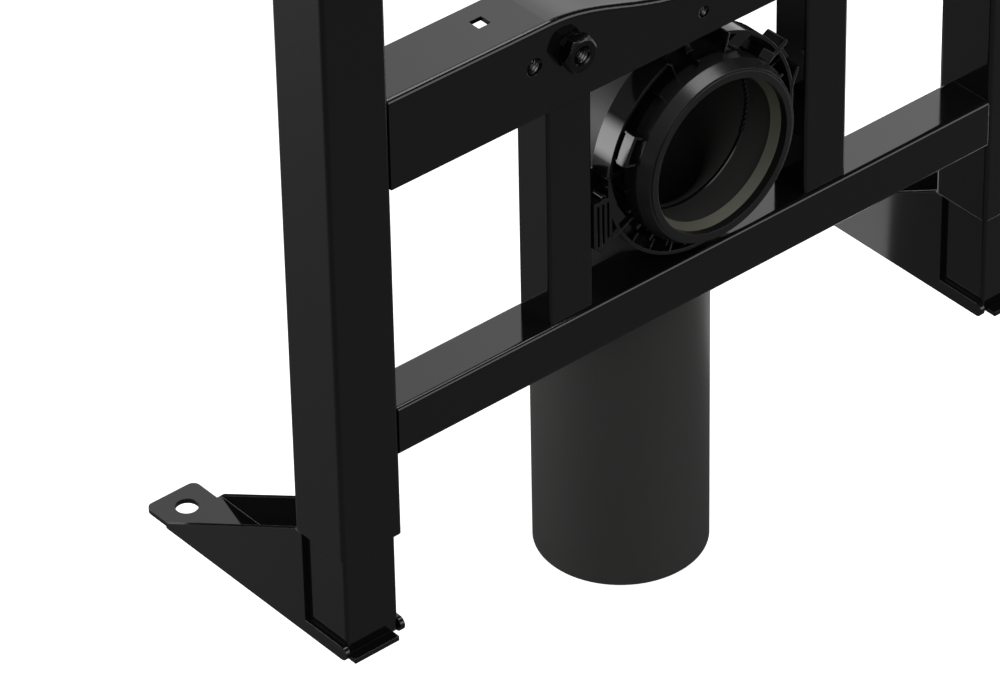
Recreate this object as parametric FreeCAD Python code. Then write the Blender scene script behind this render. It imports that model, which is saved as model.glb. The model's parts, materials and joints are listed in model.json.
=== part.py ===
import FreeCAD, Part
import math
import os

# A steel frame that carries a wall hung toilet, with its waste bend held in a moulded bracket.
# X runs to the right, Y to the wall behind, Z up; the origin is under the left leg's axis, on the floor.

# Overall sizes
frame_width = 500.0
frame_height = 1120.0

# Uprights and legs
upright_side = 40.0
upright_wall = 2.0
upright_corner = 2.5
upright_foot_height = 66.5
leg_gap = 0.75            # all round, between leg and upright
leg_wall = 2.5
leg_corner = 2.0
leg_overlap = 100.0       # kept inside the upright when the leg is fully out
leg_travel = 200.0

# Foot bracket
foot_sheet = 2.75
foot_plate_thickness = 3.0
floor_lap = 0.5           # of the floor plate into each side plate
gusset_front = 14.5       # behind the leg's axis
gusset_rear = 134.0
gusset_top_flat = 5.5
lip_height = 8.5
lip_front = -19.6
tongue_front = -23.2
tongue_width = 29.7
tab_width = 34.0
tab_rear = 153.8
tab_corner = 4.5
tab_shift = -2.0          # of the tab's and tongue's middle from the leg's axis, outwards
floor_hole_radius = 6.5
floor_hole_y = 138.8

# Rails and posts
rail_side = 30.0
rail_wall = 2.0
rail_corner = 2.5
top_rail_drop = 10.0      # of the top rail's upper face below the uprights' tops
post_width = 30.0
post_depth = 25.0
post_wall = 2.0
post_corner = 2.0
post_tab = 12.0           # of the left post's folded tab for the ear
post_tab_margin = 3.0     # above and below the ear
post_spacing = 180.0

# Fixing crossbar
fixing_height = 315.3     # of the fixing threads above the floor
bar_sheet = 2.5
bar_height = 54.0
bar_depth = 39.5
bar_lower_flange = 27.5
bar_bend = 3.0
dip_depth = 22.5
dip_half_width = 105.0
dip_knots = 3             # points of the dip's curve on each side of its middle
square_hole = 8.0
square_hole_x = 130.5
square_hole_back = 24.0
near_stud_spacing = 180.0
far_stud_spacing = 230.0
thread_radius = 5.1
bush_across_flats = 19.0
bush_front = 8.5
bush_barrel_radius = 9.0
bush_barrel_gap = 0.1
bush_back = 10.0
nut_across_flats = 18.0
nut_depth = 9.0
centre_hole_rise = 14.8   # above the bar's lower edge
centre_thread_radius = 3.4
centre_nut_across_flats = 13.0
centre_nut_depth = 6.5

# Waste bend
waste_drop = 100.0        # of the waste's axis below the fixing threads
pipe_radius = 49.5
pipe_wall = 4.5
bore_step = 0.6           # the bend's bore is this much narrower than the spigot's
room_round_pipe = 18.75   # from the pipe to the crossbar above it and to the lower rail below it
pipe_behind = 68.3        # of the down pipe's axis behind the frame's front
pipe_end = -81.0
spigot_length = 24.0      # in front of the bend
bend_slack = 1.8          # by which the bend's middle line is wider than the pipe's radius
pipe_clearance = 2.5      # between the down pipe and the lower rail

# Socket collar and lip seal
mouth_gap = 0.3           # by which the collar's mouth is wider than the pipe's bore
collar_overhang = 8.0     # in front of the spigot
collar_depth = 17.0
lip_width = 3.9
groove_width = 1.4
groove_depth = 0.6
bevel_width = 3.0
bevel_depth = 7.0
collar_lip_depth = 4.6
collar_seat_gap = 0.3
seal_lean = 2.8
seal_thickness = 1.6
seal_gap = 0.4            # inside the spigot's bore
seal_reach = 5.5

# Pipe clamp
clamp_gap = 0.3           # round the pipe
sleeve_thickness = 1.8
sleeve_setback = 0.4      # behind the collar
band_depth = 13.6
band_setback = 1.7        # of the band's back in front of the bend's start
band_thickness = 2.1
band_reach = 15.5         # of the band's outside beyond the pipe
web_thickness = 2.4
joint_gap = 0.6           # between the two halves
left_joint_angle = 174.0
right_joint_angle = 31.0
fin_pitch = 14.3          # degrees between fins
first_fin_angle = 96.5
fin_count = 25
fin_thickness = 1.2
fin_reach = 4.7           # in front of the band
fin_height = 3.5          # of a fin's nose
fin_step = 4.3            # behind the band's front, where a fin rises to the band
collar_clearance = 0.4
window_start = 135.0      # no fins from here
window_end = 165.0        # to here
notch_start = 74.7        # the band's front is set back from here
notch_end = 110.8         # to here
notch_depth = 4.8
notch_wall_reach = 2.2    # of the notch's end walls in front of the band
face_start = 176.0        # a closed front widens from here
face_end = 203.0          # to here
face_fall = 5.5           # of the closed front's inner edge below the band
face_steps = 3
ramp_start = 57.0
ramp_end = 72.0
ramp_lean = 6.0           # degrees by which the ramp's sides lean
pad_start = 148.4
pad_end = 164.2
pad_reach = 9.7           # in front of the band
pad_gap = 3.2             # between the band and the pad
pad_thickness = 2.4
pad_drop = 0.4            # below the band's face

# Ears of the clamp, measured from the waste's axis
ear_wall = 2.4
ear_top = -5.0
ear_side_bottom = -33.0
ear_tip_inset = 5.6       # from the post
ear_tip_height = -38.6
ear_line_angle = -26.5
ear_line_start = 4.8      # outside the pipe
ear_line_end = 20.2       # outside the pipe
ear_ledge = 1.2           # of the ear's lower edge in front of the band
ear_ledge_thickness = 1.6
ear_rib_count = 3
ear_rib_pitch = 3.4
ear_rib_gap = 1.5
ear_web_top = 9.0
hinge_x = 68.0
hinge_drop = 3.5
hinge_radius = 1.7
hinge_bore = 0.9
hinge_length = 8.0
hook_foot_angle = 3.0
hook_foot_width = 6.0     # in degrees
hook_x = 67.4
hook_top = 17.7
hook_thickness = 1.8
hook_depth = 10.7
knob_height = 6.2         # of the upper half's pull tab above its band
knob_thickness = 3.1
latch_reach = 8.0
latch_thickness = 1.8
latch_inset = 2.0         # from the band's edges
latch_tooth = 2.0
latch_gap = 0.4
housing_angle = 46.6      # the latch housing's sides lie square to this
housing_near = 3.2
housing_far = 14.4
housing_height = 5.5
housing_proud = 0.6       # in front of the band
tongue_length = 3.0
tongue_root = 2.0
tongue_gap = 0.5
screw_radius = 2.4
screw_gap = 0.1
screw_head_radius = 3.6
screw_head_height = 1.6
ear_screw_length = 9.0
ear_screw_drop = 16.4     # below the waste's axis
ear_screw_depth = 7.0     # behind the band's front
right_ear_setback = 12.0  # of the right ear's front, which the ring hides
right_ear_depth = 10.0

# Wall fixing holes
wall_hole_radius = 5.5
wall_hole_drop = 25.0     # below the uprights' tops
cap_plate = 3.0
cap_plug = 12.0
cap_gap = 0.3
cap_wall = 2.0            # of the hollow plug

# How the shapes are made
overrun = 1.0             # by which a cut reaches beyond what it cuts
least_corner = 0.4        # inside a tube's bore
sector_step = 60.0        # at most, in degrees, between the corners of a wedge's outside

# Places worked out from the sizes above
leg_spacing = frame_width - upright_side
middle = leg_spacing / 2
front = -upright_side / 2
inner_face = upright_side / 2
leg_side = upright_side - 2 * upright_wall - 2 * leg_gap
leg_top = upright_foot_height + leg_overlap + leg_travel
waste_axis = front + pipe_behind
waste_height = fixing_height - waste_drop
waste_room = pipe_radius + room_round_pipe
lower_rail_bottom = waste_height - waste_room - rail_side
bar_bottom = waste_height + waste_room
bar_top = bar_bottom + bar_height
centre_hole_height = bar_bottom + centre_hole_rise
post_face = post_spacing / 2 - post_width / 2      # the posts' inner faces, from the middle
right_screw_depth = right_ear_setback + right_ear_depth / 2
bend_turn = pipe_radius + bend_slack
bend_start = pipe_behind - bend_turn
spigot_front = bend_start - spigot_length          # depths from here on are from the frame's front
collar_front = spigot_front - collar_overhang
collar_back = collar_front + collar_depth
sleeve_front = collar_back + sleeve_setback
band_back = bend_start - band_setback
band_front = band_back - band_depth
web_front = band_back - web_thickness
fin_front = band_front - fin_reach
mouth = pipe_radius - pipe_wall + mouth_gap
lip_edge = mouth + lip_width
bevel_inner = lip_edge + groove_width
collar_radius = bevel_inner + bevel_width
seal_front = collar_front + collar_lip_depth
clamp_bore = pipe_radius + clamp_gap
sleeve_radius = clamp_bore + sleeve_thickness
band_radius = pipe_radius + band_reach
band_bore = band_radius - band_thickness
band_middle = band_radius - band_thickness / 2
sleeve_middle = clamp_bore + sleeve_thickness / 2
nose_bottom = collar_radius + collar_clearance
nose_top = nose_bottom + fin_height
X, Y, Z = FreeCAD.Vector(1, 0, 0), FreeCAD.Vector(0, 1, 0), FreeCAD.Vector(0, 0, 1)


def at(x, y, z):
    return FreeCAD.Vector(x, y, z)


def block(x0, x1, y0, y1, z0, z1):
    return Part.makeBox(x1 - x0, y1 - y0, z1 - z0, at(x0, y0, z0))


def rod(radius, start, direction, length):
    return Part.makeCylinder(radius, length, start, direction)


def fillet_along(shape, direction, radius):
    """Rounds the straight edges that run along one direction."""
    edges = []
    for edge in shape.Edges:
        if edge.Curve.TypeId != "Part::GeomLine":
            continue
        run = edge.Vertexes[1].Point - edge.Vertexes[0].Point
        if run.Length > 0 and abs(run.normalize().dot(direction)) > 0.999:
            edges.append(edge)
    return shape.makeFillet(radius, edges)


def square_tube(x0, x1, y0, y1, z0, z1, direction, wall, corner):
    """A drawn steel tube: a rounded box section with its bore open at both ends."""
    outer = fillet_along(block(x0, x1, y0, y1, z0, z1), direction, corner)
    bore = block(
        x0 if direction == X else x0 + wall,
        x1 if direction == X else x1 - wall,
        y0 + wall,
        y1 - wall,
        z0 if direction == Z else z0 + wall,
        z1 if direction == Z else z1 - wall,
    )
    inner_corner = max(corner - wall, least_corner)
    return outer.cut(fillet_along(bore, direction, inner_corner))


def hexagon(across_flats, centre, direction, depth):
    """A hexagonal prism with two of its corners level with its centre."""
    corner = across_flats / math.sqrt(3)
    side = Z.cross(direction) if abs(direction.dot(Z)) < 0.5 else X
    up = direction.cross(side)
    points = []
    for i in range(7):
        angle = math.radians(60 * i)
        points.append(centre + side * (corner * math.cos(angle)) + up * (corner * math.sin(angle)))
    return Part.Face(Part.makePolygon(points)).extrude(direction * depth)


def revolve_about_waste(points):
    """Turns an outline of (distance from the frame's front, radius) about the waste's level axis."""
    corners = [at(middle + radius, front + depth, waste_height) for depth, radius in points]
    face = Part.Face(Part.makePolygon(corners + corners[:1]))
    return face.revolve(at(middle, 0, waste_height), Y, 360)


def mirrored(shape):
    """The same piece on the frame's other side."""
    return shape.mirror(at(middle, 0, 0), X)


def make_upright():
    half = upright_side / 2
    foot, top = upright_foot_height, frame_height
    tube = square_tube(-half, half, -half, half, foot, top, Z, upright_wall, upright_corner)
    hole_start = at(0, -half - overrun, top - wall_hole_drop)
    hole = rod(wall_hole_radius, hole_start, Y, upright_side + 2 * overrun)
    return tube.cut(hole)


def make_leg():
    half = leg_side / 2
    return square_tube(-half, half, -half, half, foot_plate_thickness, leg_top, Z, leg_wall, leg_corner)


def side_plate(x0, x1):
    """A gusset with its low lip: it slopes up to the upright's end, then drops to the lip."""
    nose = lip_height / 2
    top = upright_foot_height
    back = gusset_front + gusset_top_flat
    lower = [at(x0, gusset_rear, 0), at(x0, lip_front + nose, 0)]
    arc = Part.Arc(lower[1], at(x0, lip_front, nose), at(x0, lip_front + nose, lip_height))
    upper = [
        at(x0, lip_front + nose, lip_height),
        at(x0, gusset_front, lip_height),
        at(x0, gusset_front, top),
        at(x0, back, top),
        at(x0, gusset_rear, foot_plate_thickness),
        lower[0],
    ]
    edges = [Part.LineSegment(*lower).toShape(), arc.toShape()]
    edges += [Part.LineSegment(a, b).toShape() for a, b in zip(upper, upper[1:])]
    return Part.Face(Part.Wire(edges)).extrude(X * (x1 - x0))


def make_foot():
    """One folded sheet: a floor plate with a drilled tab behind, and two side plates."""
    half = leg_side / 2
    thick = foot_plate_thickness
    plates = side_plate(-half - foot_sheet, -half).fuse(side_plate(half, half + foot_sheet))
    lapped = half + floor_lap
    floor = block(-lapped, lapped, lip_front + lip_height / 2, gusset_rear, 0, thick)
    tongue_left = tab_shift - tongue_width / 2
    tongue = block(tongue_left, tongue_left + tongue_width, tongue_front, 0, 0, thick)
    tab_left = tab_shift - tab_width / 2
    tab = block(tab_left, tab_left + tab_width, gusset_rear - tab_width, tab_rear, 0, thick)
    rear_edges = []
    for edge in tab.Edges:
        upright = edge.BoundBox.ZLength > thick / 2
        if upright and edge.CenterOfMass.y > tab_rear - tab_corner / 2:
            rear_edges.append(edge)
    tab = tab.makeFillet(tab_corner, rear_edges)
    foot = plates.fuse([floor, tongue, tab]).removeSplitter()
    hole_start = at(tab_shift, floor_hole_y, -overrun)
    return foot.cut(rod(floor_hole_radius, hole_start, Z, thick + 2 * overrun))


def make_rail(bottom):
    left, right = inner_face, leg_spacing - inner_face
    back, top = front + rail_side, bottom + rail_side
    return square_tube(left, right, front, back, bottom, top, X, rail_wall, rail_corner)


def make_lower_rail():
    """The lower rail, scooped out behind to let the down pipe stand close to the front."""
    scoop_start = at(middle, waste_axis, lower_rail_bottom - overrun)
    scoop = rod(pipe_radius + pipe_clearance, scoop_start, Z, rail_side + 2 * overrun)
    return make_rail(lower_rail_bottom).cut(scoop)


def make_post(left, tab):
    """An angle with its web at the left and a full front, and a tab at its right if asked for."""
    face, back = front + bar_sheet, front + bar_sheet + post_depth
    right, bottom = left + post_width, lower_rail_bottom + rail_side
    tube = square_tube(left, right, face, back, bottom, bar_bottom, Z, post_wall, post_corner)
    opening = block(
        left + post_wall, right + overrun, face + post_wall, back + overrun, bottom, bar_bottom
    )
    if tab:
        tab_top = waste_height + ear_top + post_tab_margin
        tab_bottom = waste_height + ear_side_bottom - post_tab_margin
        fold = block(
            right - post_wall, right + overrun, face, face + post_tab, tab_bottom, tab_top
        )
        opening = opening.cut(fold)
    return tube.cut(opening)


def bar_outline(drop, beyond):
    """The crossbar seen from the front: level at both ends, with a smooth dip in the middle."""
    x0, x1 = inner_face - beyond, leg_spacing - inner_face + beyond
    top, bottom = bar_top - drop, bar_bottom + drop
    knots = []
    for i in range(-dip_knots, dip_knots + 1):
        share = i / dip_knots
        fall = dip_depth * (1 + math.cos(math.pi * share)) / 2
        knots.append(at(middle + dip_half_width * share, 0, top - fall))
    dip = Part.BSplineCurve()
    dip.interpolate(knots, InitialTangent=X, FinalTangent=X)
    edges = [
        Part.LineSegment(at(x0, 0, bottom), at(x0, 0, top)).toShape(),
        Part.LineSegment(at(x0, 0, top), knots[0]).toShape(),
        dip.toShape(),
        Part.LineSegment(knots[-1], at(x1, 0, top)).toShape(),
        Part.LineSegment(at(x1, 0, top), at(x1, 0, bottom)).toShape(),
        Part.LineSegment(at(x1, 0, bottom), at(x0, 0, bottom)).toShape(),
    ]
    return Part.Face(Part.Wire(edges))


def make_crossbar():
    """A pressed channel, open at the back, with a shorter lower flange that the posts reach."""
    outline = bar_outline(0, 0)
    outline.translate(at(0, front, 0))
    body = outline.extrude(Y * bar_depth)
    upper_edges = []
    for edge in body.Edges:
        centre = edge.valueAt((edge.FirstParameter + edge.LastParameter) / 2)
        lengthwise = edge.BoundBox.XLength > bar_depth
        in_front = centre.y < front + bar_bend
        if lengthwise and in_front and centre.z > bar_bottom + bar_bend:
            upper_edges.append(edge)
    body = body.makeFillet(bar_bend, upper_edges)
    hollow = bar_outline(bar_sheet, overrun)
    hollow.translate(at(0, front + bar_sheet, 0))
    body = body.cut(hollow.extrude(Y * bar_depth))
    x0, x1 = inner_face - overrun, leg_spacing - inner_face + overrun
    y0, y1 = front + bar_lower_flange, front + bar_depth + overrun
    body = body.cut(block(x0, x1, y0, y1, bar_bottom - overrun, bar_bottom + bar_sheet + overrun))
    holes = [(0, centre_hole_height, centre_thread_radius)]
    for side in (-1, 1):
        x = middle + side * square_hole_x
        y = front + square_hole_back
        half = square_hole / 2
        z0, z1 = bar_top - bar_sheet - overrun, bar_top + overrun
        body = body.cut(block(x - half, x + half, y - half, y + half, z0, z1))
        holes.append((side * near_stud_spacing / 2, fixing_height, bush_barrel_radius + bush_barrel_gap))
        holes.append((side * far_stud_spacing / 2, fixing_height, thread_radius))
    for x, height, radius in holes:
        start = at(middle + x, front - overrun, height)
        body = body.cut(rod(radius, start, Y, bar_sheet + 2 * overrun))
    return body


def make_stud_bush():
    """A hexagon in front of the bar with a barrel through it, threaded right through."""
    x = middle - near_stud_spacing / 2
    head = hexagon(bush_across_flats, at(x, front - bush_front, fixing_height), Y, bush_front)
    barrel_length = bar_sheet + bush_back
    barrel = rod(bush_barrel_radius, at(x, front, fixing_height), Y, barrel_length)
    bore_start = at(x, front - bush_front - overrun, fixing_height)
    bore = rod(thread_radius, bore_start, Y, bush_front + barrel_length + 2 * overrun)
    return head.fuse(barrel).cut(bore)


def make_weld_nut(x, height, across_flats, depth, radius):
    """A nut welded to the bar's back, in line with a hole through the sheet."""
    start = at(x, front + bar_sheet, height)
    hole = rod(radius, start - Y * overrun, Y, depth + 2 * overrun)
    return hexagon(across_flats, start, Y, depth).cut(hole)


def make_cap():
    """A plastic cap: a plate as wide as the upright, with a hollow plug that goes into its end."""
    half = upright_side / 2
    top, low = frame_height, frame_height - cap_plug
    plate = fillet_along(block(-half, half, -half, half, top, top + cap_plate), Z, upright_corner)
    plug_half = half - upright_wall - cap_gap
    plug = block(-plug_half, plug_half, -plug_half, plug_half, low, top)
    hollow_half = plug_half - cap_wall
    hollow = block(-hollow_half, hollow_half, -hollow_half, hollow_half, low - overrun, top)
    return plate.fuse(plug.cut(hollow))


def bend_solid(level_radius, radius):
    """The level spigot, the quarter bend and the down pipe, as one round bar."""
    level_start = at(middle, front + spigot_front, waste_height)
    level = rod(level_radius, level_start, Y, bend_start - spigot_front)
    ring = Part.Face(Part.Wire(Part.makeCircle(radius, at(middle, front + bend_start, waste_height), Y)))
    bend = ring.revolve(at(middle, front + bend_start, waste_height - bend_turn), X, -90)
    down = rod(radius, at(middle, waste_axis, pipe_end), Z, waste_height - bend_turn - pipe_end)
    return level.fuse([bend, down])


def make_waste_bend():
    bore = pipe_radius - pipe_wall
    hollow = bend_solid(bore, bore - bore_step)
    ends = rod(bore - bore_step, at(middle, waste_axis, pipe_end - overrun), Z, 2 * overrun)
    spigot_end = at(middle, front + spigot_front - overrun, waste_height)
    ends = ends.fuse(rod(bore, spigot_end, Y, 2 * overrun))
    return bend_solid(pipe_radius, pipe_radius).cut(hollow).cut(ends).removeSplitter()


def make_collar():
    """The ring in front: a flat lip, a fine groove, a bevel and a plain back that grips the spigot."""
    seat = pipe_radius + collar_seat_gap
    step = spigot_front - collar_seat_gap
    groove = collar_front + groove_depth
    return revolve_about_waste([
        (collar_front, mouth),
        (collar_front, lip_edge),
        (groove, lip_edge),
        (groove, bevel_inner),
        (groove + bevel_depth, collar_radius),
        (collar_back, collar_radius),
        (collar_back, seat),
        (step, seat),
        (step, mouth + seal_thickness),
        (seal_front, mouth + seal_thickness),
        (seal_front, mouth),
    ])


def make_seal():
    """A rubber lip that leans inwards and back, held between the collar and the spigot's end."""
    back = spigot_front - collar_seat_gap
    return revolve_about_waste([
        (seal_front, mouth + seal_thickness),
        (seal_front, mouth),
        (seal_front + seal_reach, mouth - seal_lean),
        (seal_front + seal_reach, mouth - seal_lean + seal_thickness),
        (back, pipe_radius - pipe_wall - seal_gap),
        (back, mouth + seal_thickness),
    ])


def polar(radius, angle):
    """A point in the clamp's plane, from the waste's axis; angles run from the right towards the top."""
    return radius * math.cos(math.radians(angle)), radius * math.sin(math.radians(angle))


def prism(points, depth0, depth1):
    """An outline about the waste's axis, given a thickness between two depths behind the front."""
    corners = [at(middle + x, front + depth0, waste_height + z) for x, z in points]
    return Part.Face(Part.makePolygon(corners + corners[:1])).extrude(Y * (depth1 - depth0))


def sector(start, end, radius, depth0, depth1):
    """A wedge about the waste's axis, with its curved side cut straight well outside the clamp."""
    steps = max(2, math.ceil((end - start) / sector_step))
    points = [(0, 0)]
    for i in range(steps + 1):
        points.append(polar(2 * radius, start + (end - start) * i / steps))
    return prism(points, depth0, depth1)


def ring_between(inner, outer, depth0, depth1):
    return revolve_about_waste([(depth0, inner), (depth0, outer), (depth1, outer), (depth1, inner)])


def radial_plate(outline, thickness, angle):
    """A thin plate in a plane through the waste's axis, from an outline of (depth, radius)."""
    bottom = waste_height - thickness / 2
    corners = [at(middle + radius, front + depth, bottom) for depth, radius in outline]
    plate = Part.Face(Part.makePolygon(corners + corners[:1])).extrude(Z * thickness)
    plate.rotate(at(middle, 0, waste_height), Y, -angle)
    return plate


def make_fin(angle):
    """A fin between sleeve and band, with a low nose that reaches forward over the collar."""
    step = band_front + fin_step
    return radial_plate([
        (web_front + web_thickness / 2, sleeve_middle), (web_front + web_thickness / 2, band_middle),
        (step, band_middle), (step, nose_top), (fin_front, nose_top), (fin_front, nose_bottom),
        (sleeve_front, nose_bottom), (sleeve_front, sleeve_middle),
    ], fin_thickness, angle)


def make_full_fin(outer, reach, thickness, angle):
    """A fin that keeps its full height up to its front edge."""
    fin_start = band_front - reach
    return radial_plate([
        (band_back, sleeve_middle), (band_back, outer), (fin_start, outer), (fin_start, nose_bottom),
        (sleeve_front, nose_bottom), (sleeve_front, sleeve_middle),
    ], thickness, angle)


def make_closed_face():
    """A crescent that closes the front beside the left joint and widens towards its lower end."""
    outer, inner = [], []
    for i in range(face_steps + 1):
        angle = face_start + (face_end - face_start) * i / face_steps
        outer.append(polar(band_middle, angle))
        inner.append(polar(band_bore - face_fall * i / face_steps, angle))
    return prism(outer + inner[::-1], band_front, band_front + band_thickness)


def make_ramp():
    return prism([
        polar(nose_top, ramp_end), polar(band_middle, ramp_end - ramp_lean),
        polar(band_middle, ramp_start), polar(nose_bottom, ramp_start + ramp_lean),
    ], band_front, band_back)


def make_pad():
    """A grip pad in front of the band, on two walls."""
    outer = band_radius - pad_drop
    pad_front, pad_back = band_front - pad_reach, band_front - pad_gap
    shell = ring_between(outer - pad_thickness, outer, pad_front, pad_back)
    pieces = []
    trim = math.degrees(fin_thickness / 2 / outer)
    for angle in (pad_start + trim, pad_end - trim):
        pieces.append(make_full_fin(outer - pad_thickness / 2, pad_reach, fin_thickness, angle))
    return shell.common(sector(pad_start, pad_end, 2 * band_radius, pad_front, pad_back)).fuse(pieces)


def make_clamp_ring():
    """The whole moulded ring: sleeve, band and web, with fins and a notch in the band's front."""
    ring = revolve_about_waste([
        (sleeve_front, clamp_bore),
        (sleeve_front, sleeve_radius),
        (web_front, sleeve_radius),
        (web_front, band_bore),
        (band_front, band_bore),
        (band_front, band_radius),
        (band_back, band_radius),
        (band_back, clamp_bore),
    ])
    notch_front, notch_back = band_front - overrun, band_front + notch_depth
    notch = ring_between(nose_top, 2 * band_radius, notch_front, notch_back)
    notch_sector = sector(notch_start, notch_end, 2 * band_radius, notch_front, notch_back)
    ring = ring.cut(notch.common(notch_sector))
    pieces = [make_closed_face(), make_ramp(), make_pad()]
    for angle in (notch_start, notch_end):
        pieces.append(make_full_fin(band_radius, notch_wall_reach, fin_thickness, angle))
    for i in range(fin_count):
        angle = (first_fin_angle + fin_pitch * i) % 360
        beside_latch = right_joint_angle < angle < ramp_end
        at_notch_wall = min(abs(angle - notch_start), abs(angle - notch_end)) < fin_pitch / 2
        if not (window_start < angle < window_end or beside_latch or at_notch_wall):
            pieces.append(make_fin(angle))
    return ring.fuse(pieces)


def ear_line(reach):
    return polar(pipe_radius + reach, ear_line_angle)


def ear_outline():
    """The ears' outline, from the front, pointed below."""
    inner, outer = ear_line(ear_line_start), ear_line(ear_line_end)
    tip = (post_face - ear_tip_inset, ear_tip_height)
    return [(inner[0], ear_top), (post_face, ear_top), (post_face, ear_side_bottom), tip, outer, inner]


def make_right_ear():
    """The right ear: a plate behind the ring, with a flange along the post."""
    side = post_face - ear_wall
    ear_front = band_front + right_ear_setback
    inside = rod(band_middle, at(middle, front + band_front, waste_height), Y, band_depth + overrun)
    plate = prism(ear_outline(), ear_front, band_back).cut(inside)
    flange = prism([
        (side, ear_top), (post_face, ear_top), (post_face, ear_side_bottom), (side, ear_side_bottom),
    ], ear_front, ear_front + right_ear_depth)
    return plate.fuse(flange)


def make_ear():
    """The left ear, as if on the right: a tray with upright ribs between the band and the post."""
    side = post_face - ear_wall
    inner, outer = ear_line(ear_line_start), ear_line(ear_line_end)
    outline = ear_outline()
    tip = (post_face - ear_tip_inset, ear_tip_height)
    tray = prism(outline, band_front, band_back)
    pocket = prism([
        (inner[0], ear_top - ear_wall), (side, ear_top - ear_wall), (side, ear_side_bottom),
        (tip[0], ear_tip_height + 2 * ear_wall), (outer[0], outer[1] + ear_wall),
        (inner[0], inner[1] + ear_wall),
    ], band_front - overrun, web_front)
    tray = tray.cut(pocket)
    ribs = []
    for i in range(ear_rib_count):
        right = side - ear_rib_gap - ear_rib_pitch * i
        left = right - ear_rib_pitch + ear_rib_gap
        rib = prism([
            (left, ear_top), (right, ear_top), (right, ear_tip_height), (left, ear_tip_height),
        ], band_front, band_back)
        ribs.append(rib.common(prism(outline, band_front, band_back)))
    inside_start = at(middle, front + band_front - overrun, waste_height)
    inside = rod(band_middle, inside_start, Y, band_depth + 2 * overrun)
    web = prism([
        (inner[0], ear_top), (post_face, ear_top), (post_face, ear_web_top),
        (band_radius + joint_gap, ear_web_top), (band_radius + joint_gap, 0),
    ], web_front, band_back)
    ledge = make_full_fin(pipe_radius + ear_line_end, ear_ledge, ear_ledge_thickness, ear_line_angle)
    return tray.fuse(ribs + [web]).cut(inside).fuse(ledge)


def make_hinge():
    """The left half's hinge eye, a short barrel on top of the left ear."""
    start = at(middle - hinge_x, front + band_front, waste_height - hinge_drop)
    eye = rod(hinge_bore, start - Y * overrun, Y, hinge_length / 2)
    return rod(hinge_radius, start, Y, hinge_length).cut(eye)


def make_hook():
    """A springy arm that leans away from the band towards the right post."""
    return prism([
        polar(band_middle, hook_foot_angle), (hook_x + hook_thickness, hook_top), (hook_x, hook_top),
        polar(band_middle, hook_foot_angle + hook_foot_width),
    ], band_front, band_front + hook_depth)


def joint_sector(start, end):
    """The room that one half of the clamp takes, with half the joint's gap left free at each end."""
    trim = math.degrees(joint_gap / 2 / band_radius)
    room_front, room_back = band_front - pad_reach - overrun, band_back + overrun
    return sector(start + trim, end - trim, 2 * band_radius, room_front, room_back)


def turned(shape, angle):
    """The same piece, turned about the waste's axis."""
    shape.rotate(at(middle, 0, waste_height), Y, -angle)
    return shape


def make_knob():
    """The upper half's pull tab: a flange on the joint with a rounded edge."""
    low, high = joint_gap / 2, joint_gap / 2 + knob_thickness
    reach = band_radius + knob_height - knob_thickness / 2
    outline = [(nose_bottom, low), (reach, low), (reach, high), (nose_bottom, high)]
    edge_start = at(middle + reach, front + band_front, waste_height + (low + high) / 2)
    edge = rod(knob_thickness / 2, edge_start, Y, band_depth)
    return prism(outline, band_front, band_back).fuse(edge)


def latch_prism(inner, outer, low, high):
    outline = [(inner, low), (outer, low), (outer, high), (inner, high)]
    return prism(outline, band_front + latch_inset, band_back - latch_inset)


def make_upper_clamp(ring):
    """The upper half: a strap over the pipe that ends in a pull tab and a latch plate."""
    strap = ring.common(joint_sector(right_joint_angle, left_joint_angle))
    latch_inner = band_radius + joint_gap
    latch = latch_prism(latch_inner, latch_inner + latch_thickness, -latch_reach, knob_thickness)
    housing = prism([
        (nose_bottom, -housing_far), (nose_bottom + housing_height, -housing_far),
        (nose_bottom + housing_height, -housing_near), (nose_bottom, -housing_near),
    ], band_front - housing_proud, band_back)
    tongue = prism([
        (sleeve_radius + tongue_gap, -tongue_root), (band_bore - tongue_gap, -tongue_root),
        (band_bore - tongue_gap, tongue_length), (sleeve_radius + tongue_gap, tongue_length),
    ], band_front + band_thickness + tongue_gap, web_front - tongue_gap)
    hold = prism([
        (sleeve_middle, -tongue_root), (band_bore + tongue_gap, -tongue_root),
        (band_bore + tongue_gap, -joint_gap), (sleeve_middle, -joint_gap),
    ], sleeve_front, web_front + web_thickness / 2)
    pieces = [turned(make_knob().fuse(latch), right_joint_angle), turned(housing, housing_angle)]
    pieces.append(turned(tongue.fuse(hold), left_joint_angle))
    return strap.fuse(pieces)


def make_lower_clamp(ring):
    """The lower half: a cradle under the pipe with ears that are screwed to both posts."""
    cradle = ring.common(joint_sector(left_joint_angle, right_joint_angle + 360))
    ear = make_ear()
    tooth_top = -latch_reach - latch_gap
    tooth_reach = band_radius + joint_gap + latch_thickness
    tooth = latch_prism(band_middle, tooth_reach, tooth_top - latch_tooth, tooth_top)
    pieces = [make_right_ear(), mirrored(ear), make_hinge(), make_hook()]
    body = cradle.fuse(pieces + [turned(tooth, right_joint_angle)])
    return body.cut([ear_hole(right_screw_depth), mirrored(ear_hole(ear_screw_depth))])


def ear_screw_start(depth):
    """Where the right ear's screw starts, this far behind the band's front."""
    return at(middle + post_face - ear_wall, front + band_front + depth, waste_height - ear_screw_drop)


def ear_hole(depth):
    """The right ear's screw hole, sunk for the flat head."""
    start = ear_screw_start(depth) - X * overrun
    hole = rod(screw_radius + screw_gap, start, X, ear_wall + 2 * overrun)
    return hole.fuse(rod(screw_head_radius + screw_gap, start, X, overrun + screw_head_height))


def post_hole(depth):
    """The screw's hole in the right post."""
    start = ear_screw_start(depth) - X * overrun
    return rod(screw_radius + screw_gap, start, X, ear_screw_length + 2 * overrun)


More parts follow.
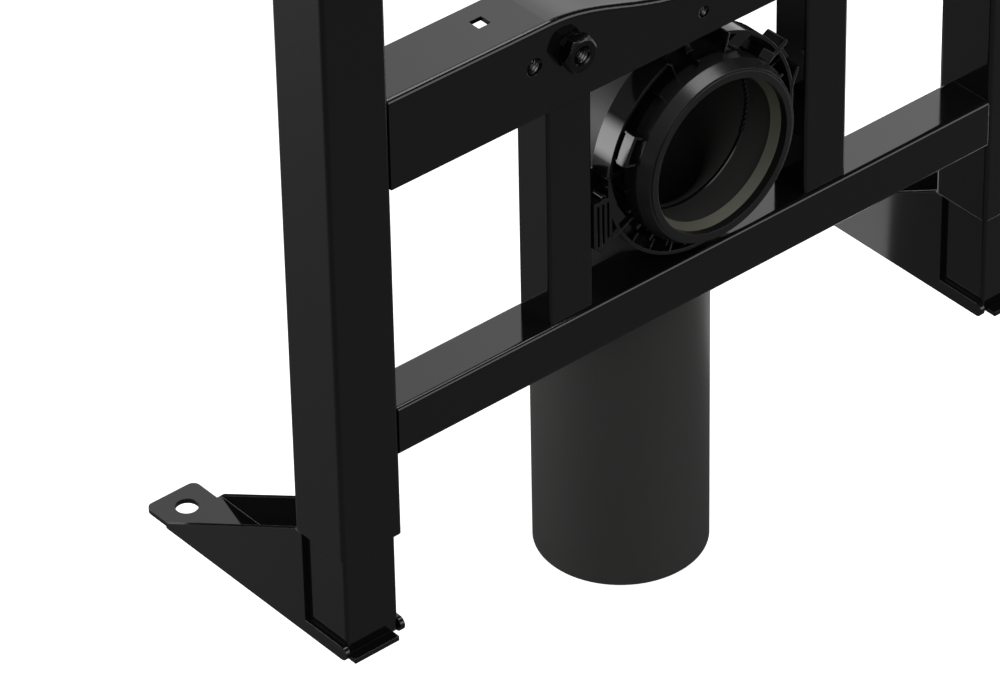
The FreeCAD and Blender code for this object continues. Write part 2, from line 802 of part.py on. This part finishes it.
def make_ear_screw(depth):
    """The right ear's flat headed screw, sunk in the ear's side and driven into the post."""
    start = ear_screw_start(depth)
    head = rod(screw_head_radius, start, X, screw_head_height)
    return head.fuse(rod(screw_radius, start, X, ear_screw_length))


def save(name, shape):
    shape.exportStep("parts/" + name + ".step")
    state = "valid" if shape.isValid() else "NOT VALID"
    print(name, len(shape.Solids), "solid", round(shape.Volume), "mm3", state)


def save_pair(name, shape):
    save("left_" + name, shape)
    save("right_" + name, mirrored(shape))


os.makedirs("parts", exist_ok=True)
save_pair("upright", make_upright())
save_pair("leg", make_leg())
save_pair("foot", make_foot())
save("lower_rail", make_lower_rail())
save("top_rail", make_rail(frame_height - top_rail_drop - rail_side))
left_post = make_post(middle - post_face - post_width, True)
save("left_post", left_post.cut(mirrored(post_hole(ear_screw_depth))))
save("right_post", make_post(middle + post_face, False).cut(post_hole(right_screw_depth)))
save("fixing_crossbar", make_crossbar())
save_pair("stud_bush", make_stud_bush())
save_pair("weld_nut", make_weld_nut(
    middle - far_stud_spacing / 2, fixing_height, nut_across_flats, nut_depth, thread_radius
))
save("centre_weld_nut", make_weld_nut(
    middle, centre_hole_height, centre_nut_across_flats, centre_nut_depth, centre_thread_radius
))
save_pair("cap", make_cap())
save("waste_bend", make_waste_bend())
save("socket_collar", make_collar())
save("lip_seal", make_seal())
clamp_ring = make_clamp_ring()
save("upper_clamp", make_upper_clamp(clamp_ring))
save("lower_clamp", make_lower_clamp(clamp_ring))
save("left_ear_screw", mirrored(make_ear_screw(ear_screw_depth)))
save("right_ear_screw", make_ear_screw(right_screw_depth))
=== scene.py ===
import json
import math

import bpy
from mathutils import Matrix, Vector


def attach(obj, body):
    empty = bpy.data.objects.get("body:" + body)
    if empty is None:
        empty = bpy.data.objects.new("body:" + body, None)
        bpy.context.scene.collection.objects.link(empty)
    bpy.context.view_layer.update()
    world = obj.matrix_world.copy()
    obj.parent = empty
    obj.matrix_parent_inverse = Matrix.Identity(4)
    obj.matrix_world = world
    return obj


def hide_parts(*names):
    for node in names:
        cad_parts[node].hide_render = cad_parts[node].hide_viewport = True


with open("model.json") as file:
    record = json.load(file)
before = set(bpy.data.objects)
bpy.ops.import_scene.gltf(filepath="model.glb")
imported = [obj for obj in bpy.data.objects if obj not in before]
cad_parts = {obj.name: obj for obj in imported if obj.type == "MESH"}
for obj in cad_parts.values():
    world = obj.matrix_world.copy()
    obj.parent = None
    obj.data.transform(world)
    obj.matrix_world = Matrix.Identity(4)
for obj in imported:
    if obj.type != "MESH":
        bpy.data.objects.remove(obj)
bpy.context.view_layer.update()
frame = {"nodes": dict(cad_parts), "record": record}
nodes = frame["nodes"]
print("frame loaded:", len(nodes), "CAD nodes")


def linear(hexColour):
    # sRGB hex to linear
    channels = [int(hexColour[i:i + 2], 16) / 255 for i in (1, 3, 5)]
    return [c / 12.92 if c <= 0.04045 else ((c + 0.055) / 1.055) ** 2.4 for c in channels] + [1.0]


def addNode(tree, kind, settings=None, links=None):
    # settings are the node's attributes or its inputs' values, links say which socket feeds which input;
    # an input goes by its name or its number
    node = tree.nodes.new(kind)
    for name, value in (settings or {}).items():
        if isinstance(name, int) or name in node.inputs:
            node.inputs[name].default_value = value
        else:
            setattr(node, name, value)
    for name, socket in (links or {}).items():
        tree.links.new(socket, node.inputs[name])
    return node


def newTree(name):
    material = bpy.data.materials.new(name)
    material.use_nodes = True
    material.node_tree.nodes.clear()
    return material, material.node_tree


def newMaterial(name):
    material, tree = newTree(name)
    shader = addNode(tree, "ShaderNodeBsdfPrincipled")
    addNode(tree, "ShaderNodeOutputMaterial", links={"Surface": shader.outputs["BSDF"]})
    place = addNode(tree, "ShaderNodeTexCoord").outputs["Object"]
    return material, tree, shader, place


edgeSamples = 4     # of the Bevel nodes that soften the edges

# polyester powder coat on steel, semi-gloss: a deep black skin with a soft orange peel a few mm across
powderCoat = {
    "colour": "#0b0b0b",
    "colourWorn": "#0e0e0e",
    "roughness": 0.09,
    "roughnessSwing": 0.02,
    "ior": 1.5,
    "cloudsPerMetre": 18.0,
    "peelSize": 0.0035,
    "peelDepth": 0.000004,
    "peelStrength": 0.25,
    "edge": 0.0005,
}


def makePowderCoat(spec):
    material, tree, shader, place = newMaterial("powderCoatedSteel")
    cloud = addNode(tree, "ShaderNodeTexNoise", {"Scale": spec["cloudsPerMetre"], "Detail": 3.0},
                    {"Vector": place})
    colour = addNode(tree, "ShaderNodeMix", {
        "data_type": "RGBA", 6: linear(spec["colour"]), 7: linear(spec["colourWorn"]),
    }, {"Factor": cloud.outputs["Fac"]})
    gloss = addNode(tree, "ShaderNodeMapRange", {
        "To Min": spec["roughness"] - spec["roughnessSwing"],
        "To Max": spec["roughness"] + spec["roughnessSwing"],
    }, {"Value": cloud.outputs["Fac"]})
    peel = addNode(tree, "ShaderNodeTexNoise", {"Scale": 1 / spec["peelSize"], "Detail": 1.0},
                   {"Vector": place})
    # the coat rounds sharp edges
    softEdge = addNode(tree, "ShaderNodeBevel", {"samples": edgeSamples, "Radius": spec["edge"]})
    bump = addNode(tree, "ShaderNodeBump", {"Strength": spec["peelStrength"], "Distance": spec["peelDepth"]},
                   {"Height": peel.outputs["Fac"], "Normal": softEdge.outputs["Normal"]})
    tree.links.new(colour.outputs[2], shader.inputs["Base Color"])
    tree.links.new(gloss.outputs["Result"], shader.inputs["Roughness"])
    tree.links.new(bump.outputs["Normal"], shader.inputs["Normal"])
    shader.inputs["IOR"].default_value = spec["ior"]
    return material


# polyethylene pipe, extruded: matt dark grey with a faint drawn grain along the pipe
pipePlastic = {
    "colour": "#353534", "colourLight": "#393938", "roughness": 0.52, "ior": 1.51,
    "grain": 0.0012, "drawnOut": 0.04, "grainDepth": 0.00001, "grainStrength": 0.2,
}


def makePipePlastic(spec):
    material, tree, shader, place = newMaterial("extrudedPolyethylene")
    stretch = addNode(tree, "ShaderNodeMapping", {"Scale": (1.0, 1.0, spec["drawnOut"])}, {"Vector": place})
    grain = addNode(tree, "ShaderNodeTexNoise", {"Scale": 1 / spec["grain"], "Detail": 2.0},
                    {"Vector": stretch.outputs["Vector"]})
    colour = addNode(tree, "ShaderNodeMix", {
        "data_type": "RGBA", 6: linear(spec["colour"]), 7: linear(spec["colourLight"]),
    }, {"Factor": grain.outputs["Fac"]})
    bump = addNode(tree, "ShaderNodeBump", {
        "Strength": spec["grainStrength"], "Distance": spec["grainDepth"],
    }, {"Height": grain.outputs["Fac"]})
    tree.links.new(colour.outputs[2], shader.inputs["Base Color"])
    tree.links.new(bump.outputs["Normal"], shader.inputs["Normal"])
    shader.inputs["Roughness"].default_value = spec["roughness"]
    shader.inputs["IOR"].default_value = spec["ior"]
    return material


# glass filled polyamide, moulded and polished: glossy black
clampPlastic = {
    "colour": "#0c0c0c", "roughness": 0.1, "ior": 1.53,
    "grain": 0.0008, "grainDepth": 0.000003, "grainStrength": 0.15, "edge": 0.0004,
}
# polypropylene, moulded with a fine eroded texture: satin dark grey
collarPlastic = {
    "colour": "#161616", "roughness": 0.27, "ior": 1.49,
    "grain": 0.0006, "grainDepth": 0.000006, "grainStrength": 0.15, "edge": 0.0004,
}
# EPDM rubber, moulded: matt olive grey
sealRubber = {
    "colour": "#545449", "roughness": 0.6, "ior": 1.5,
    "grain": 0.0010, "grainDepth": 0.00001, "grainStrength": 0.15, "edge": 0.0003,
}


def makeMoulded(name, spec):
    material, tree, shader, place = newMaterial(name)
    grain = addNode(tree, "ShaderNodeTexNoise", {"Scale": 1 / spec["grain"], "Detail": 2.0},
                    {"Vector": place})
    # moulded edges are never sharp
    softEdge = addNode(tree, "ShaderNodeBevel", {"samples": edgeSamples, "Radius": spec["edge"]})
    bump = addNode(tree, "ShaderNodeBump", {
        "Strength": spec["grainStrength"], "Distance": spec["grainDepth"],
    }, {"Height": grain.outputs["Fac"], "Normal": softEdge.outputs["Normal"]})
    tree.links.new(bump.outputs["Normal"], shader.inputs["Normal"])
    shader.inputs["Base Color"].default_value = linear(spec["colour"])
    shader.inputs["Roughness"].default_value = spec["roughness"]
    shader.inputs["IOR"].default_value = spec["ior"]
    return material


# zinc plated steel, passivated black: a dark metal with a little gloss
blackZinc = {"colour": "#38383a", "roughness": 0.22, "roughnessSwing": 0.06, "grain": 0.0009}
# the same plating on the threads, coloured brighter: a painted highlight that makes the thread flanks show as
# bright lines
paintedHighlightThread = {"colour": "#58585a", "roughness": 0.2, "roughnessSwing": 0.06, "grain": 0.0009}


def makeBlackZinc(name, spec):
    material, tree, shader, place = newMaterial(name)
    grain = addNode(tree, "ShaderNodeTexNoise", {"Scale": 1 / spec["grain"], "Detail": 3.0},
                    {"Vector": place})
    gloss = addNode(tree, "ShaderNodeMapRange", {
        "To Min": spec["roughness"] - spec["roughnessSwing"],
        "To Max": spec["roughness"] + spec["roughnessSwing"],
    }, {"Value": grain.outputs["Fac"]})
    tree.links.new(gloss.outputs["Result"], shader.inputs["Roughness"])
    shader.inputs["Base Color"].default_value = linear(spec["colour"])
    shader.inputs["Metallic"].default_value = 1.0
    return material


finishes = {
    "black_steel": makePowderCoat(powderCoat),
    "pipe_plastic": makePipePlastic(pipePlastic),
    "black_plastic": makeMoulded("mouldedPolyamide", clampPlastic),
    "collar_plastic": makeMoulded("mouldedPolypropylene", collarPlastic),
    "seal_rubber": makeMoulded("mouldedRubber", sealRubber),
    "fixings": makeBlackZinc("blackPassivatedZinc", blackZinc),
}

for subpart in frame["record"]["subparts"]:
    mesh = nodes[subpart["node"]].data
    mesh.materials.clear()
    mesh.materials.append(finishes[subpart["material_slot"]])
print("materials on", len(nodes), "nodes")


def newPiece(name, points, faces, finish):
    mesh = bpy.data.meshes.new(name)
    mesh.from_pydata(points, [], faces)
    mesh.materials.append(finish)
    piece = bpy.data.objects.new(name, mesh)
    bpy.context.scene.collection.objects.link(piece)
    return piece


# the hexagonal bushes: turned steel, the hexagon chamfered at both ends, with a neck behind it and a barrel
studBush = {
    "x": {"left": 0.140, "right": 0.320},
    "z": 0.3153,
    "front": -0.0285,           # y of the hexagon's front
    "face": -0.0200,            # y of the crossbar's face
    "back": -0.0075,            # y of the barrel's end
    "acrossFlats": 0.0190,
    "neck": 0.0018,             # from the crossbar's face to the hexagon
    "barrel": 0.0090,           # radius
    "core": 0.0051,             # radius of the bore
    "lead": 0.0007,             # the bore's chamfer
    "chamfer": 0.0009,          # of the hexagon's front, inside the flats
    "backChamfer": 0.0004,
    "chamferAngle": 30,
    "chamferRings": 4,
    "steps": 96,                # round
}


def flatRadius(angle, acrossFlats):
    # from the middle to the hexagon's flats, with two of its corners level
    return acrossFlats / 2 / math.cos(angle % (math.pi / 3) - math.pi / 6)


def makeStudBush(side, spec, finish):
    x, z = spec["x"][side], spec["z"]
    flat = spec["acrossFlats"] / 2
    corner = flat / math.cos(math.pi / 6)
    neck = spec["face"] - spec["neck"]
    slope = math.tan(math.radians(spec["chamferAngle"]))
    # rings from the bore's back round the outside to its front: depth, radius, True where the flats cut it
    rings = [
        (spec["back"], spec["core"], False),
        (spec["back"], spec["barrel"], False),
        (neck, spec["barrel"], False),
    ]
    shares = [ring / spec["chamferRings"] for ring in range(spec["chamferRings"] + 1)]
    for share in shares:
        inner = flat - spec["backChamfer"]
        radius = inner + (corner - inner) * share
        rings.append((neck - slope * (radius - inner), radius, True))
    for share in reversed(shares):
        inner = flat - spec["chamfer"]
        radius = inner + (corner - inner) * share
        rings.append((spec["front"] + slope * (radius - inner), radius, True))
    rings += [
        (spec["front"], spec["core"] + spec["lead"], False),
        (spec["front"] + spec["lead"], spec["core"], False),
    ]
    points, faces = [], []
    steps = spec["steps"]
    for depth, radius, cut in rings:
        for step in range(steps):
            angle = 2 * math.pi * step / steps
            reach = min(radius, flatRadius(angle, spec["acrossFlats"])) if cut else radius
            points.append((x + reach * math.cos(angle), depth, z + reach * math.sin(angle)))
    for ring in range(len(rings)):
        here, there = ring * steps, (ring + 1) % len(rings) * steps
        for step in range(steps):
            after = (step + 1) % steps
            faces.append([here + step, here + after, there + after, there + step])
    bush = newPiece(side + "StudBush", points, faces, finish)
    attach(bush, "frame")
    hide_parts(side + "_stud_bush")


for side in studBush["x"]:
    makeStudBush(side, studBush, finishes["fixings"])
print("stud bushes made")


# metric threads, in metres: x and z of the hole's axis, y of its mouth and of its end, core radius and pitch
m12 = {"z": 0.3153, "core": 0.0051, "pitch": 0.00175}
m8 = {"z": 0.2983, "core": 0.0034, "pitch": 0.00125}
threadHoles = {
    "leftBushThread": {"x": 0.140, "mouth": -0.0283, "end": -0.0077, **m12},
    "rightBushThread": {"x": 0.320, "mouth": -0.0283, "end": -0.0077, **m12},
    "leftHoleThread": {"x": 0.115, "mouth": -0.0194, "end": -0.0087, **m12},
    "rightHoleThread": {"x": 0.345, "mouth": -0.0194, "end": -0.0087, **m12},
    "centreHoleThread": {"x": 0.230, "mouth": -0.0195, "end": -0.0112, **m8},
}
ridge = {
    "rise": 0.30,          # of the crest above the core, in pitches
    "halfFoot": 0.46,      # from the crest to each foot, in pitches
    "sunk": 0.00003,       # of the feet in the bore's wall
    "margin": 0.5,         # from each end of the hole, in pitches
    "steps": 40,           # round one turn
}


def makeThread(name, hole, shape, finish):
    pitch, steps = hole["pitch"], shape["steps"]
    foot, crest = hole["core"] + shape["sunk"], hole["core"] - shape["rise"] * pitch
    count = round(((hole["end"] - hole["mouth"]) / pitch - 2 * shape["margin"]) * steps)
    points, faces = [], []
    for step in range(count + 1):
        angle = 2 * math.pi * step / steps
        middle = hole["mouth"] + pitch * (shape["margin"] + step / steps)
        for radius, shift in ((foot, -shape["halfFoot"]), (crest, 0.0), (foot, shape["halfFoot"])):
            x = hole["x"] + radius * math.cos(angle)
            z = hole["z"] + radius * math.sin(angle)
            points.append((x, middle + shift * pitch, z))
    for step in range(count):
        for side in range(3):
            a, b = 3 * step + side, 3 * step + (side + 1) % 3
            faces.append((a, b, b + 3, a + 3))
    faces += [(0, 2, 1), (3 * count, 3 * count + 1, 3 * count + 2)]
    thread = newPiece(name, points, faces, finish)
    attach(thread, "frame")


# the threads' brighter plating colour is a painted highlight
threadFinish = makeBlackZinc("paintedHighlightZincThread", paintedHighlightThread)
for name, hole in threadHoles.items():
    makeThread(name, hole, ridge, threadFinish)
print("threads cut:", len(threadHoles))


# the bead that butt welding leaves inside the pipe, where the spigot meets the bend; the trimming tool
# nicked it on one side and left it fine and even elsewhere
weldBead = {
    "middle": (0.230, 0.2153), "place": -0.0053, "width": 0.0030, "bore": 0.04503,
    "rise": 0.0016, "fineRise": 0.0007,
    "nicks": 84, "nickDepth": 0.0011, "nicked": (-25.0, 75.0),      # degrees round the bore
    # foot, flank, crest, flank, foot: shares of the width, the rise and the nick's depth
    "profile": ((0.0, 0.0, 0.0), (0.2, 0.7, 0.4), (0.5, 1.0, 1.0), (0.8, 0.7, 0.4), (1.0, 0.0, 0.0)),
    "nickShape": (0.0, 1.0, 1.0, 0.0),      # over one nick's pitch
}
# the same polyethylene, melted and set: shiny; its colour is darker than the pipe's, painted shade for the
# inside of the bore
shadedBeadPlastic = {
    "colour": "#0d0d0d", "roughness": 0.12, "ior": 1.51,
    "grain": 0.0012, "grainDepth": 0.000004, "grainStrength": 0.15, "edge": 0.0002,
}


def makeWeldBead(spec, finish):
    points, faces = [], []
    steps = spec["nicks"] * len(spec["nickShape"])
    count = len(spec["profile"])
    x, z = spec["middle"]
    for step in range(steps):
        angle = 2 * math.pi * step / steps
        degrees = (math.degrees(angle) + 180) % 360 - 180
        rough = spec["nicked"][0] < degrees < spec["nicked"][1]
        nick = spec["nickShape"][step % len(spec["nickShape"])] if rough else 0.0
        height = spec["rise"] if rough else spec["fineRise"]
        for along, rise, share in spec["profile"]:
            radius = spec["bore"] - height * rise + spec["nickDepth"] * nick * share
            y = spec["place"] + spec["width"] * along
            points.append((x + radius * math.cos(angle), y, z + radius * math.sin(angle)))
    for step in range(steps):
        here, there = count * step, count * ((step + 1) % steps)
        for side in range(count):
            other = (side + 1) % count
            faces.append((here + side, there + side, there + other, here + other))
    bead = newPiece("weldBead", points, faces, finish)
    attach(bead, "frame")


# the bead's dark colour is painted shade inside the bore
makeWeldBead(weldBead, makeMoulded("weldedPolyethyleneWithPaintedShade", shadedBeadPlastic))
print("weld bead made")


room = {
    "floorHeight": -0.083,      # just under the pipe's end
    "floorSize": 60.0,
    "floorColour": "#cfcfcf",
    "cardStep": 0.001,          # each card lies this much above the one before
    "skyDark": 0.05,
    # the white wall that gloss mirrors; its angles are given as the windows' are
    "backdrop": {"turn": (45.0, 20.0), "fade": (31.0, 24.0), "bright": 1.0},
}
# bright patches of the studio's walls: degrees round from +X and up, degrees from the middle where each
# fades out and where it is full, and brightness
windows = {
    "backWindow": {"turn": (28.0, 30.0), "fade": (24.0, 4.0), "bright": 1.3},
    "frontWindow": {"turn": (-50.0, 11.0), "fade": (20.0, 15.0), "bright": 2.8},
    "fillWindow": {"turn": (-118.0, 40.0), "fade": (30.0, 16.0), "bright": 2.0},
    "leftWall": {"turn": (-150.0, 30.0), "fade": (85.0, 55.0), "bright": 0.22},
}
# soft boxes: middle, the point that each faces, width and height, the soft edges' shares of these, brightness
softBoxes = {
    "backLeftBox": {
        "place": (-0.75, 0.75, 0.25), "aim": (0.16, 0.0, 0.25),
        "size": (0.8, 0.9), "edge": (0.08, 0.35), "bright": 5.4,
    },
    "overheadBox": {
        "place": (0.69, -0.05, 1.9), "aim": (0.69, -0.05, 0.0),
        "size": (1.2, 1.0), "edge": (0.05, 0.05), "bright": 5.2,
    },
}
# grey and black cards lie on the floor, where the steel would mirror it: corners in the floor's plane
cards = {
    "frontCard": {"colour": "#787878", "outline": [(-9.0, -9.0), (9.0, -9.0), (0.5, 0.0), (-9.0, 0.0)]},
    "leftCard": {"colour": "#7c7c7c", "outline": [(-9.0, 0.0), (0.5, 0.0), (-8.5, 9.0), (-9.0, 9.0)]},
    "backCard": {"colour": "#202020", "outline": [(0.0, 0.33), (2.0, 0.33), (2.0, 1.6), (-0.2, 1.6)]},
}


def makePlate(name, corners, height, finish):
    plate = newPiece(name, [(x, y, 0.0) for x, y in corners], [tuple(range(len(corners)))], finish)
    plate.location = (0.0, 0.0, height)
    return plate


def makeFloor(spec):
    # pale to the light that falls on it, and white where the camera, gloss and clear plastic see it
    material, tree = newTree("paleStudioFloor")
    path = addNode(tree, "ShaderNodeLightPath")
    mirrored = addNode(tree, "ShaderNodeMath", {"operation": "MAXIMUM"},
                       {0: path.outputs["Is Glossy Ray"], 1: path.outputs["Is Transmission Ray"]})
    seen = addNode(tree, "ShaderNodeMath", {"operation": "MAXIMUM"},
                   {0: path.outputs["Is Camera Ray"], 1: mirrored.outputs[0]})
    glow = addNode(tree, "ShaderNodeEmission", {"Color": (1, 1, 1, 1)}, {"Strength": seen.outputs[0]})
    pale = addNode(tree, "ShaderNodeBsdfDiffuse", {"Color": linear(spec["floorColour"])})
    both = addNode(tree, "ShaderNodeAddShader", links={0: glow.outputs[0], 1: pale.outputs[0]})
    addNode(tree, "ShaderNodeOutputMaterial", links={"Surface": both.outputs[0]})
    half = spec["floorSize"] / 2
    corners = [(-half, -half), (half, -half), (half, half), (-half, half)]
    makePlate("studioFloor", corners, spec["floorHeight"], material)


def makeCard(name, spec, height):
    material, tree = newTree(name + "Felt")
    felt = addNode(tree, "ShaderNodeBsdfDiffuse", {"Color": linear(spec["colour"])})
    addNode(tree, "ShaderNodeOutputMaterial", links={"Surface": felt.outputs[0]})
    card = makePlate(name, spec["outline"], height, material)
    card.visible_camera = False
    card.visible_shadow = False


def addPatch(tree, direction, spec):
    # bright inside the smaller angle, dark outside the larger one
    heading, up = [math.radians(a) for a in spec["turn"]]
    aim = (math.cos(up) * math.cos(heading), math.cos(up) * math.sin(heading), math.sin(up))
    near = addNode(tree, "ShaderNodeVectorMath", {"operation": "DOT_PRODUCT", 1: aim}, {0: direction})
    dark, bright = [math.cos(math.radians(a)) for a in spec["fade"]]
    return addNode(tree, "ShaderNodeMapRange", {
        "From Min": dark, "From Max": bright, "To Max": spec["bright"], "interpolation_type": "SMOOTHSTEP",
    }, {"Value": near.outputs["Value"]}).outputs["Result"]


def makeSky(spec, patches):
    world = bpy.data.worlds.new("studioSky")
    bpy.context.scene.world = world
    world.use_nodes = True
    tree = world.node_tree
    tree.nodes.clear()
    path = addNode(tree, "ShaderNodeLightPath")
    direction = addNode(tree, "ShaderNodeTexCoord").outputs["Generated"]
    glows = [addPatch(tree, direction, patch) for patch in patches.values()]
    level = addNode(tree, "ShaderNodeMath", {"operation": "ADD", 1: spec["skyDark"]}, {0: glows[0]})
    for glow in glows[1:]:
        level = addNode(tree, "ShaderNodeMath", {"operation": "ADD"}, {0: glow, 1: level.outputs[0]})
    light = addNode(tree, "ShaderNodeBackground", links={"Strength": level.outputs[0]})
    # the background is white to the camera, and gloss mirrors it where the backdrop stands
    mirrored = addNode(tree, "ShaderNodeMath", {"operation": "MULTIPLY"},
                       {0: path.outputs["Is Glossy Ray"], 1: addPatch(tree, direction, spec["backdrop"])})
    seen = addNode(tree, "ShaderNodeMath", {"operation": "MAXIMUM"},
                   {0: path.outputs["Is Camera Ray"], 1: path.outputs["Is Transmission Ray"]})
    shown = addNode(tree, "ShaderNodeMath", {"operation": "MAXIMUM"},
                    {0: seen.outputs[0], 1: mirrored.outputs[0]})
    white = addNode(tree, "ShaderNodeBackground", {"Color": (1, 1, 1, 1)}, {"Strength": shown.outputs[0]})
    both = addNode(tree, "ShaderNodeAddShader", links={0: light.outputs[0], 1: white.outputs[0]})
    addNode(tree, "ShaderNodeOutputWorld", links={"Surface": both.outputs[0]})


def makeSoftBox(name, spec):
    # a lit cloth, which fades towards its edges and glows on one side alone: its -Z, which faces the object
    width, height = spec["size"]
    material, tree = newTree(name + "Cloth")
    place = addNode(tree, "ShaderNodeTexCoord").outputs["Object"]
    across = addNode(tree, "ShaderNodeSeparateXYZ", links={"Vector": place})
    strength = addNode(tree, "ShaderNodeNewGeometry").outputs["Backfacing"]
    for axis, half, share, full in zip("XY", (width / 2, height / 2), spec["edge"], (spec["bright"], 1.0)):
        off = addNode(tree, "ShaderNodeMath", {"operation": "ABSOLUTE"}, {0: across.outputs[axis]})
        fade = addNode(tree, "ShaderNodeMapRange", {
            "From Min": half, "From Max": half * (1 - 2 * share),
            "To Max": full, "interpolation_type": "SMOOTHSTEP",
        }, {"Value": off.outputs[0]})
        strength = addNode(tree, "ShaderNodeMath", {"operation": "MULTIPLY"},
                           {0: fade.outputs["Result"], 1: strength}).outputs[0]
    glow = addNode(tree, "ShaderNodeEmission", {"Color": (1, 1, 1, 1)}, {"Strength": strength})
    addNode(tree, "ShaderNodeOutputMaterial", links={"Surface": glow.outputs[0]})
    corners = [(x * width / 2, y * height / 2, 0.0) for x, y in ((-1, -1), (1, -1), (1, 1), (-1, 1))]
    box = newPiece(name, corners, [(0, 1, 2, 3)], material)
    box.location = spec["place"]
    box.rotation_euler = (Vector(spec["aim"]) - Vector(spec["place"])).to_track_quat("-Z", "Y").to_euler()
    box.visible_camera = False


makeFloor(room)
makeSky(room, windows)
for number, (name, spec) in enumerate(cards.items()):
    makeCard(name, spec, room["floorHeight"] + room["cardStep"] * (number + 1))
for name, spec in softBoxes.items():
    makeSoftBox(name, spec)
print("floor, sky and soft boxes made")


lens = {
    "place": (-1.589143, -2.042170, 2.088486),
    "turn": (53.620273, 0.960277, -40.386541),   # degrees, XYZ
    "focal": 226.7214,
    "sensor": 36.0,
    "reach": 50.0,
}
cameraData = bpy.data.cameras.new("studioCamera")
camera = bpy.data.objects.new("studioCamera", cameraData)
bpy.context.scene.collection.objects.link(camera)
camera.location = lens["place"]
camera.rotation_euler = [math.radians(a) for a in lens["turn"]]
cameraData.lens = lens["focal"]
cameraData.sensor_width = lens["sensor"]
cameraData.clip_end = lens["reach"]
bpy.context.scene.camera = camera
print("camera set")

bpy.context.scene.view_settings.view_transform = "Standard"
